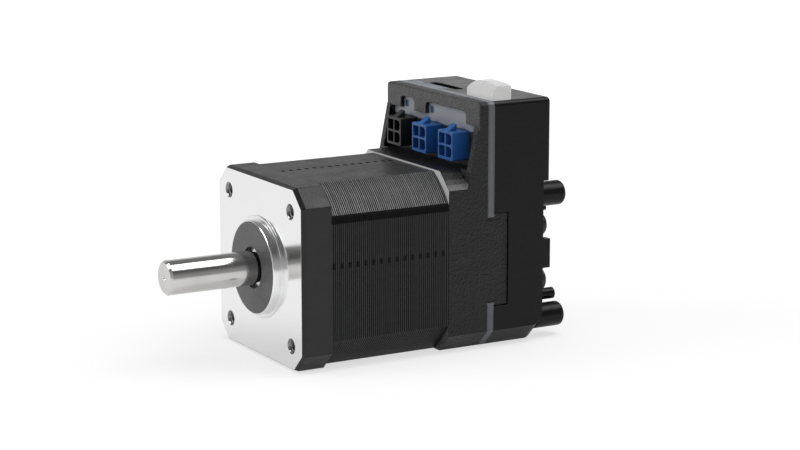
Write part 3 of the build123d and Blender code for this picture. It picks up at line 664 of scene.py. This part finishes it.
@dataclass(frozen=True)
class MilkyGuide:
    """Translucent white plastic that carries light, a little blue in thin places."""

    name: str = "milky_light_guide"
    white: Triple = (0.24, 0.26, 0.29)
    band: Triple = (0.115, 0.115, 0.118)
    band_edge: Triple = (0.062, 0.082, 0.125)
    band_middle: float = 49.6 * MM
    shade: Triple = (0.012, 0.012, 0.013)
    band_start: float = 48.65 * MM
    shade_height: float = 29.7 * MM
    pocket: Triple = (0.10, 0.15, 0.22)
    pocket_depth_from: float = 47.25 * MM
    pocket_depth_to: float = 47.7 * MM
    pocket_half: float = 0.85 * MM
    pocket_height: float = 32.75 * MM
    pocket_places: tuple[float, float] = (-13.3 * MM, -1.35 * MM)
    rim_fade: tuple[float, float] = (0.35 * MM, 0.8 * MM)
    shade_fade: float = 0.4 * MM

    def make(self) -> bpy.types.Material:
        """Builds the material.

        Returns:
            The finished material.
        """
        base = Plastic(self.name, self.white, 0.38, 900.0, 0.000004, subsurface=0.35,
                       tone_change=0.06, coat=0.1)
        material, bench, shader, milky = base.shaded()
        _, across, along, upward = bench.place()
        rim = bench.spread(bench.away(along, self.band_middle), *self.rim_fade)
        strip = bench.blend(rim, self.band, self.band_edge)
        milky = bench.blend(bench.maths("GREATER_THAN", along, self.band_start), milky, strip)
        front = bench.maths("LESS_THAN", along, self.pocket_depth_from)
        low = bench.spread(upward, self.shade_height, self.shade_height + self.shade_fade, 1.0, 0.0)
        milky = bench.blend(bench.product(front, low), milky, self.shade)
        deep = bench.between(along, self.pocket_depth_from, self.pocket_depth_to)
        level = bench.maths("LESS_THAN", bench.away(upward, self.pocket_height), self.pocket_half)
        found = 0.0
        for centre in self.pocket_places:
            near = bench.maths("LESS_THAN", bench.away(across, centre), self.pocket_half)
            found = bench.maths("ADD", found, near)
        pockets = bench.product(deep, level, found)
        bench.feed(shader.inputs["Base Color"], bench.blend(pockets, milky, self.pocket))
        return material


@dataclass(frozen=True)
class Winding:
    """Enamelled copper wire laid in turns."""

    name: str = "enamelled_winding"
    copper: Triple = (0.55, 0.20, 0.07)
    shadow: Triple = (0.16, 0.05, 0.02)
    wire: float = 0.32 * MM
    wander_scale: float = 260.0
    depth: float = 0.12 * MM
    metallic: float = 0.6
    roughness: float = 0.32
    coat: float = 0.5

    def make(self) -> bpy.types.Material:
        """Builds the material.

        Returns:
            The finished material.
        """
        material = bpy.data.materials.new(self.name)
        material.use_nodes = True
        bench = Bench(material.node_tree)
        shader = material.node_tree.nodes["Principled BSDF"]
        vector, across, _, upward = bench.place()
        turns = bench.maths("DIVIDE", bench.radius(across, upward), self.wire)
        wander = bench.noise(vector, self.wander_scale, 2.0)
        wave = bench.maths("SINE", bench.product(bench.maths("ADD", turns, wander), 2 * math.pi))
        height = bench.spread(wave, -1.0, 1.0)
        bench.feed(shader.inputs["Base Color"], bench.blend(height, self.shadow, self.copper))
        bench.feed(shader.inputs["Normal"], bench.bump(height, self.depth))
        shader.inputs["Metallic"].default_value = self.metallic
        shader.inputs["Roughness"].default_value = self.roughness
        shader.inputs["Coat Weight"].default_value = self.coat
        return material


@dataclass(frozen=True)
class SolderMask:
    """Board laminate with copper tracks under a dark mask."""

    name: str = "solder_mask"
    mask: Triple = (0.008, 0.035, 0.022)
    track: Triple = (0.016, 0.075, 0.045)
    pitch: float = 1.27 * MM
    track_share: float = 0.28
    area_scale: float = 160.0
    area_share: float = 0.5

    def make(self) -> bpy.types.Material:
        """Builds the material.

        Returns:
            The finished material.
        """
        base = Plastic(self.name, self.mask, 0.3, 6000.0, 0.000004, coat=0.3)
        material, bench, shader, _ = base.shaded()
        vector, across, _, upward = bench.place()
        lines = []
        for socket in (across, upward):
            phase = bench.maths("FRACT", bench.maths("DIVIDE", socket, self.pitch))
            lines.append(bench.maths("LESS_THAN", phase, self.track_share))
        areas = bench.maths("GREATER_THAN", bench.noise(vector, self.area_scale, 1.0), self.area_share)
        upright = bench.product(lines[0], areas)
        level = bench.product(lines[1], bench.maths("SUBTRACT", 1.0, areas))
        tracks = bench.maths("ADD", upright, level, clamp=True)
        bench.feed(shader.inputs["Base Color"], bench.blend(tracks, self.mask, self.track))
        return material


def dress(material: bpy.types.Material, *names: str) -> None:
    """Gives CAD nodes one material.

    Args:
        material: The finish.
        names: The nodes.
    """
    for name in names:
        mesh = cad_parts[name].data
        mesh.materials.clear()
        mesh.materials.append(material)
        log.info("dressed %s in %s", name, material.name)


@dataclass(frozen=True)
class EdgeRounding:
    """A small rounding of the sharp edges of CAD nodes, so that they catch the light."""

    width: float
    weld: float = 0.002 * MM
    flat_angle: float = math.radians(0.6)
    sharp_angle: float = math.radians(32)
    segments: int = 2

    def soften(self, *names: str) -> None:
        """Adds the rounding.

        Args:
            names: The nodes.
        """
        for name in names:
            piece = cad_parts[name]
            weld = piece.modifiers.new("weld", "WELD")
            weld.merge_threshold = self.weld
            merge = piece.modifiers.new("whole_flats", "DECIMATE")
            merge.decimate_type = "DISSOLVE"
            merge.angle_limit = self.flat_angle
            bevel = piece.modifiers.new("edge_round", "BEVEL")
            bevel.width = self.width
            bevel.segments = self.segments
            bevel.limit_method = "ANGLE"
            bevel.angle_limit = self.sharp_angle
            bevel.harden_normals = False
            bevel.use_clamp_overlap = False
            smooth = piece.modifiers.new("even_flats", "WEIGHTED_NORMAL")
            smooth.keep_sharp = True
            log.info("rounded the edges of %s", name)


@dataclass
class TappedHoles:
    """The thread ridges that show in the four mounting holes."""

    spacing: float = 31.0 * MM
    mouth: float = 0.55 * MM
    depth: float = 4.5 * MM
    pitch: float = 0.5 * MM
    wall_radius: float = 1.26 * MM
    crest_radius: float = 1.04 * MM
    profile_share: float = 0.38
    weld: float = 0.0005 * MM
    steps: int = 24

    def ridge(self) -> bpy.types.Object:
        """Models one coiled thread ridge at the origin of the front face.

        Returns:
            The ridge, coiled about the Y axis.
        """
        bpy.ops.object.select_all(action="DESELECT")
        middle = (self.wall_radius + self.crest_radius) / 2
        bpy.ops.mesh.primitive_circle_add(vertices=3, radius=self.pitch * self.profile_share,
                                          fill_type="NOTHING", location=(middle, 0, 0),
                                          rotation=(0, 0, math.pi / 2))
        piece = bpy.context.object
        bpy.ops.object.transform_apply(location=True, rotation=True, scale=True)
        coil = piece.modifiers.new("coil", "SCREW")
        coil.axis = "Y"
        coil.screw_offset = self.pitch
        coil.iterations = round((self.depth - self.mouth) / self.pitch)
        coil.steps = self.steps
        coil.render_steps = self.steps
        coil.use_smooth_shade = True
        bpy.ops.object.modifier_apply(modifier=coil.name)
        bpy.ops.object.mode_set(mode="EDIT")
        bpy.ops.mesh.select_all(action="SELECT")
        bpy.ops.mesh.remove_doubles(threshold=self.weld)
        bpy.ops.mesh.select_all(action="DESELECT")
        bpy.ops.mesh.select_non_manifold()
        bpy.ops.mesh.edge_face_add()
        bpy.ops.mesh.select_all(action="SELECT")
        bpy.ops.mesh.normals_make_consistent(inside=False)
        bpy.ops.object.mode_set(mode="OBJECT")
        return piece

    def build(self, finish: bpy.types.Material) -> None:
        """Puts a ridge in every hole.

        Args:
            finish: The metal of the ridges.
        """
        pattern = self.ridge()
        shift = self.spacing / 2
        for index, (side, rise) in enumerate(((-1, -1), (-1, 1), (1, -1), (1, 1)), start=1):
            mesh = pattern.data.copy()
            mesh.transform(Matrix.Translation((side * shift, self.mouth, rise * shift)))
            piece = bpy.data.objects.new(f"thread_ridge_{index}", mesh)
            bpy.context.scene.collection.objects.link(piece)
            mesh.materials.clear()
            mesh.materials.append(finish)
            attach(piece, "housing")
            log.info("made %s", piece.name)
        bpy.data.objects.remove(pattern)


@dataclass
class PilotStep:
    """The low turned step round the foot of the pilot."""

    inner_radius: float = 10.9 * MM
    outer_radius: float = 12.0 * MM
    rise: float = 0.3 * MM
    sunk: float = 0.12 * MM
    edge: float = 0.12 * MM
    sides: int = 160
    sharp_angle: float = math.radians(40)
    smooth_angle: float = math.radians(35)

    def build(self, finish: bpy.types.Material) -> None:
        """Models the ring and puts it on the front face.

        Args:
            finish: The bare metal of the step.
        """
        bpy.ops.object.select_all(action="DESELECT")
        bpy.ops.mesh.primitive_circle_add(vertices=self.sides, radius=self.outer_radius,
                                          fill_type="NGON", location=(0, self.sunk, 0),
                                          rotation=(math.pi / 2, 0, 0))
        ring = bpy.context.object
        ring.name = "pilot_step_ring"
        bpy.ops.object.transform_apply(location=True, rotation=True, scale=True)
        bpy.ops.object.mode_set(mode="EDIT")
        bpy.ops.mesh.select_all(action="SELECT")
        bpy.ops.mesh.inset(thickness=self.outer_radius - self.inner_radius, use_even_offset=True)
        bpy.ops.mesh.delete(type="FACE")
        bpy.ops.mesh.select_all(action="SELECT")
        move = {"value": (0, -self.rise - self.sunk, 0)}
        bpy.ops.mesh.extrude_region_move(TRANSFORM_OT_translate=move)
        bpy.ops.mesh.select_all(action="SELECT")
        bpy.ops.mesh.normals_make_consistent(inside=False)
        bpy.ops.object.mode_set(mode="OBJECT")
        bevel = ring.modifiers.new("edge_round", "BEVEL")
        bevel.width = self.edge
        bevel.segments = 2
        bevel.limit_method = "ANGLE"
        bevel.angle_limit = self.sharp_angle
        bpy.ops.object.modifier_apply(modifier=bevel.name)
        bpy.ops.object.shade_smooth_by_angle(angle=self.smooth_angle)
        ring.data.materials.append(finish)
        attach(ring, "housing")
        log.info("made %s", ring.name)


@dataclass
class MotorFrame:
    """Front bell, laminated stack, coils and everything that holds them."""

    holes: TappedHoles = field(default_factory=TappedHoles)
    step: PilotStep = field(default_factory=PilotStep)
    edge: float = 0.12 * MM

    def build(self) -> None:
        """Dresses the frame and makes its threads and pilot step."""
        bell = PaintedCasting("painted_front_bell", BLACK_PAINT, (0.95, 0.95, 0.955),
                              machined_until=0.02 * MM, dark_disc_radius=10.67 * MM,
                              dark_disc_until=-1.9 * MM, bare_spots=(15.5 * MM, 1.79 * MM),
                              bare_roughness=0.13, specular=0.52)
        dress(bell.make(), "front_bell")
        dress(VarnishedLaminations().make(), "stator_core")
        dress(Winding().make(), "stator_coils")
        nylon = Plastic("white_nylon", (0.62, 0.60, 0.54), 0.5, 1500.0, 0.00001)
        dress(nylon.make(), "front_insulator", "rear_insulator")
        steel = Metal("polished_bearing_steel", (0.62, 0.62, 0.63), 0.16)
        dress(steel.make(), "front_bearing_outer_ring", "rear_bearing_outer_ring",
              "front_bearing_balls", "rear_bearing_balls", "front_bearing_inner_ring",
              "rear_bearing_inner_ring")
        # Painted shade: the shields are darkened, as they sit in shade deep in the bore.
        shield = Metal("shaded_shield_steel", (0.10, 0.10, 0.10), 0.45, Lines.FACE_RINGS)
        dress(shield.make(), "front_bearing_shields", "rear_bearing_shields", "wave_washer")
        zinc = Metal("zinc_plated_steel", (0.55, 0.56, 0.57), 0.36)
        dress(zinc.make(), "tie_bolts", "board_screws")
        EdgeRounding(self.edge).soften("front_bell")
        # The thread ridges are painted darker, as shade inside the holes.
        self.holes.build(Metal("shaded_thread_aluminium", (0.42, 0.42, 0.43), 0.28).make())
        turned = Metal("turned_step_aluminium", (0.88, 0.88, 0.89), 0.2, Lines.FACE_RINGS)
        self.step.build(turned.make())


@dataclass
class Rotor:
    """The turning parts."""

    steel: Triple = (0.66, 0.65, 0.64)
    nickel: Triple = (0.60, 0.58, 0.55)

    def build(self) -> None:
        """Dresses the turning parts."""
        ground = Metal("ground_shaft_steel", self.steel, 0.13, mark_density=14000.0,
                       mark_depth=0.000002)
        dress(ground.make(), "rotor_shaft")
        cores = Metal("bare_lamination_steel", (0.36, 0.35, 0.34), 0.38, mark_density=2200.0,
                      mark_depth=0.00003)
        dress(cores.make(), "rotor_core_front", "rotor_core_rear")
        nickel = Metal("nickel_plate", self.nickel, 0.2, Lines.FACE_RINGS)
        dress(nickel.make(), "rotor_magnet", "encoder_magnet")
        dress(Metal("turned_brass", (0.62, 0.44, 0.18), 0.25).make(), "rotor_spacer")
        dress(Metal("turned_aluminium", (0.74, 0.74, 0.75), 0.26).make(), "magnet_holder")


@dataclass
class DriveCasing:
    """Cast rear housing, light guide and rear cover."""

    housing_edge: float = 0.12 * MM
    cover_edge: float = 0.05 * MM
    # Painted light: the panel's front face is painted lighter than the rest, as lit from the front.
    panel: ToneBox = ToneBox((-22 * MM, 46.0 * MM, 31.0 * MM), (22 * MM, 46.4 * MM, 38 * MM),
                             (0.058, 0.058, 0.059))
    # Painted highlight on the slanting corner facets, in steps that fade towards the headers' shadow.
    facet_depth: tuple[float, float] = (38.2 * MM, 43.4 * MM)
    facet_side: tuple[float, float] = (14.0 * MM, 21.1 * MM)
    facet_steps: tuple[Triple, ...] = ((13.0 * MM, 18.6 * MM, 0.13), (18.6 * MM, 19.6 * MM, 0.06),
                                       (19.6 * MM, 21.0 * MM, 0.02))

    def painted_light_facets(self) -> list[ToneBox]:
        """Finds the slanting corner facets that get painted light: a painted highlight low down that
        fades out higher up, where the headers' shadow falls.

        Returns:
            Boxes round both corners, each step with its tone.
        """
        (front, back), (inside, outside) = self.facet_depth, self.facet_side
        boxes = []
        for low, high, tone in self.facet_steps:
            for start, end in ((inside, outside), (-outside, -inside)):
                boxes.append(ToneBox((start, front, low), (end, back, high), (tone, tone, tone)))
        return boxes

    def build(self) -> None:
        """Dresses the casing."""
        # The machined front strip fades towards paint at the bottom, as painted shade under the stack.
        housing = PaintedCasting("painted_rear_housing", BLACK_PAINT, (0.62, 0.62, 0.63),
                                 machined_until=38.18 * MM, bare_shaded_below=-13 * MM, bare_in_shade=0.22,
                                 grain_scale=2100.0, grain_depth=0.00022, bare_metallic=0.15,
                                 bare_roughness=0.5, toned=(self.panel, *self.painted_light_facets()))
        dress(housing.make(), "rear_housing")
        dress(MilkyGuide().make(), "light_guide")
        cover = Plastic("satin_black_cover", (0.003, 0.003, 0.0031), 0.30, 5200.0, 0.000012,
                        specular=0.22, tone_change=0.04)
        dress(cover.make(), "rear_cover")
        dress(Metal("black_oxide_screws", (0.06, 0.06, 0.062), 0.4).make(), "cover_screws")
        EdgeRounding(self.housing_edge).soften("rear_housing")
        EdgeRounding(self.cover_edge).soften("rear_cover")


@dataclass
class PlugBay:
    """Three plug headers and their pins."""

    edge: float = 0.08 * MM
    names: tuple[str, str, str] = ("power_header", "bus_in_header", "bus_out_header")

    def build(self) -> None:
        """Dresses the headers and pins."""
        black = Plastic("black_header_nylon", (0.010, 0.0095, 0.0095), 0.40, 3600.0, 0.000015).make()
        blue = Plastic("blue_header_nylon", (0.012, 0.085, 0.30), 0.40, 3600.0, 0.000015).make()
        gold = Metal("gold_plated_contacts", (0.78, 0.52, 0.18), 0.22, Lines.ALONG_X).make()
        for name, finish in zip(self.names, (black, blue, blue)):
            dress(finish, name)
            dress(gold, name + "_pins")
        dress(gold, "phase_pins")
        EdgeRounding(self.edge).soften(*self.names)


@dataclass
class Electronics:
    """The control board and the parts on it."""

    def build(self) -> None:
        """Dresses the board and its parts."""
        dress(SolderMask().make(), "control_board")
        epoxy = Plastic("moulded_epoxy", (0.02, 0.02, 0.021), 0.55, 5200.0, 0.000012)
        dress(epoxy.make(), "encoder_chip", "processor_chip", "power_transistors", "button_switch")
        dress(Metal("satin_can", (0.72, 0.72, 0.73), 0.3).make(), "filter_capacitors")
        ferrite = Plastic("fired_ferrite", (0.05, 0.05, 0.055), 0.6, 1800.0, 0.00003)
        dress(ferrite.make(), "power_inductor")
        lens = Plastic("clear_lamp_lens", (0.80, 0.80, 0.70), 0.2, 2000.0, 0.000002, subsurface=0.3)
        dress(lens.make(), "status_leds")
        stamped = Metal("stamped_socket_steel", (0.60, 0.60, 0.59), 0.3, Lines.ALONG_X)
        dress(stamped.make(), "card_socket")


@dataclass
class Controls:
    """The push button, painted with emitted light, and its plunger."""

    def build(self) -> None:
        """Dresses the button."""
        # Painted light: the emission stands in for light scattered through the frosted body.
        painted_glow = Plastic("frosted_button", (0.20, 0.205, 0.203), 0.30, 700.0, 0.000003, subsurface=0.5,
                       tone_change=0.03, coat=0.15, painted_glow=0.34)
        dress(painted_glow.make(), "lit_button")
        dress(Plastic("plunger_nylon", (0.6, 0.6, 0.58), 0.45).make(), "switch_plunger")


@dataclass(frozen=True)
class SoftBox:
    """A rectangular lamp of a width, a height and a power in watts."""

    name: str
    place: Triple
    size: tuple[float, float]
    power: float
    mirrored: bool = True

    def build(self, aim: Triple) -> None:
        """Makes the lamp.

        Args:
            aim: Where it points.
        """
        data = bpy.data.lights.new(self.name, "AREA")
        data.shape = "RECTANGLE"
        data.size, data.size_y = self.size
        data.energy = self.power
        lamp = bpy.data.objects.new(self.name, data)
        bpy.context.scene.collection.objects.link(lamp)
        lamp.location = self.place
        lamp.visible_glossy = self.mirrored
        lamp.rotation_mode = "QUATERNION"
        lamp.rotation_quaternion = (Vector(self.place) - Vector(aim)).to_track_quat("Z", "Y")


@dataclass
class Studio:
    """Floor, light and camera."""

    lens: float = 105.2
    sensor: float = 36.0
    azimuth: float = 59.925
    elevation: float = 11.662
    camera_place: Triple = (0.471297, -0.235534, 0.118325)
    floor_height: float = -21.15 * MM
    floor_size: float = 6.0
    fill_strength: float = 0.42
    floor_grey: float = 0.6
    floor_white: float = 1.23
    floor_share: float = 0.53
    white_from: float = 0.14
    white_beyond: float = 0.50
    reflected_share: float = 0.30
    near_clip: float = 0.01
    far_clip: float = 50.0
    side_light: Fade = (-0.5, 0.6, 0.9, 0.40)
    horizon_light: Fade = (0.0, 0.25, 1.0, 0.75)
    overhead_light: Fade = (0.3, 0.6, 1.0, 0.3)
    middle: Triple = (0.0, 0.02, 0.01)
    lamps: tuple[SoftBox, ...] = (
        SoftBox("key_box", (0.17, 0.39, 0.64), (0.50, 0.46), 2.3),
        SoftBox("ceiling_panel", (0.05, 0.10, 0.85), (0.9, 0.9), 4.2, mirrored=False),
        SoftBox("front_box", (-0.35, -0.75, 0.45), (0.5, 0.5), 3.4))

    def camera(self) -> None:
        """Makes the camera at the photograph's angle."""
        data = bpy.data.cameras.new("camera")
        data.lens = self.lens
        data.sensor_width = self.sensor
        data.clip_start = self.near_clip
        data.clip_end = self.far_clip
        camera = bpy.data.objects.new("camera", data)
        bpy.context.scene.collection.objects.link(camera)
        turn, rise = math.radians(self.azimuth), math.radians(self.elevation)
        level = math.cos(rise)
        back = Vector((math.sin(turn) * level, -math.cos(turn) * level, math.sin(rise)))
        right = Vector((math.cos(turn), math.sin(turn), 0.0))
        up = back.cross(right)
        basis = Matrix((right, up, back)).transposed().to_4x4()
        camera.matrix_world = Matrix.Translation(self.camera_place) @ basis
        bpy.context.scene.camera = camera

    def floor(self) -> None:
        """Makes a pale floor that keeps the object's shadow."""
        bpy.ops.object.select_all(action="DESELECT")
        bpy.ops.mesh.primitive_plane_add(size=self.floor_size, location=(0, 0, self.floor_height))
        floor = bpy.context.object
        floor.name = "floor"
        material = bpy.data.materials.new("pale_floor")
        material.use_nodes = True
        tree = material.node_tree
        bench = Bench(tree)
        tree.nodes.remove(tree.nodes["Principled BSDF"])
        diffuse = bench.add("ShaderNodeBsdfDiffuse")
        diffuse.inputs["Color"].default_value = (*[self.floor_grey] * 3, 1.0)
        white = bench.add("ShaderNodeEmission")
        white.inputs["Strength"].default_value = self.floor_white
        path = bench.add("ShaderNodeLightPath")
        seen = bench.maths("MAXIMUM", path.outputs["Is Camera Ray"],
                           path.outputs["Is Transmission Ray"])
        _, across, along, _ = bench.place()
        share = bench.spread(bench.radius(across, along), self.white_from, self.white_beyond,
                             self.floor_share, 1.0)
        reflected = bench.product(path.outputs["Is Glossy Ray"], self.reflected_share)
        seen = bench.maths("MAXIMUM", bench.product(seen, share), reflected)
        mix = bench.add("ShaderNodeMixShader")
        bench.feed(mix.inputs[0], seen)
        bench.feed(mix.inputs[1], diffuse.outputs[0])
        bench.feed(mix.inputs[2], white.outputs[0])
        bench.feed(tree.nodes["Material Output"].inputs[0], mix.outputs[0])
        floor.data.materials.append(material)

    def sky(self) -> None:
        """Makes a white surround that fills the shadows softly."""
        world = bpy.data.worlds.new("surround")
        world.use_nodes = True
        bpy.context.scene.world = world
        bench = Bench(world.node_tree)
        background = world.node_tree.nodes["Background"]
        path = bench.add("ShaderNodeLightPath")
        direction = bench.add("ShaderNodeTexCoord").outputs["Generated"]
        split = bench.add("ShaderNodeSeparateXYZ")
        bench.feed(split.inputs[0], direction)
        mirrored = bench.product(bench.spread(split.outputs[2], *self.horizon_light),
                                 bench.spread(split.outputs[0], *self.side_light),
                                 bench.spread(split.outputs[2], *self.overhead_light))
        strength = bench.weigh(path.outputs["Is Glossy Ray"], self.fill_strength, mirrored)
        clear = bench.maths("MAXIMUM", path.outputs["Is Camera Ray"],
                            path.outputs["Is Transmission Ray"])
        bench.feed(background.inputs["Strength"], bench.weigh(clear, strength, 1.0))
        background.inputs["Color"].default_value = (1, 1, 1, 1)

    def build(self) -> None:
        """Builds floor, surround, lamps and camera."""
        bpy.context.scene.view_settings.view_transform = "Standard"
        self.floor()
        self.sky()
        for lamp in self.lamps:
            lamp.build(self.middle)
        self.camera()


def main() -> None:
    """Builds the whole scene and reports each piece."""
    logging.basicConfig(level=logging.INFO, format="%(name)s: %(message)s")
    for group in (MotorFrame(), Rotor(), DriveCasing(), PlugBay(), Electronics(), Controls(), Studio()):
        group.build()
        log.info("built %s", type(group).__name__)


if __name__ == "__main__":
    main()
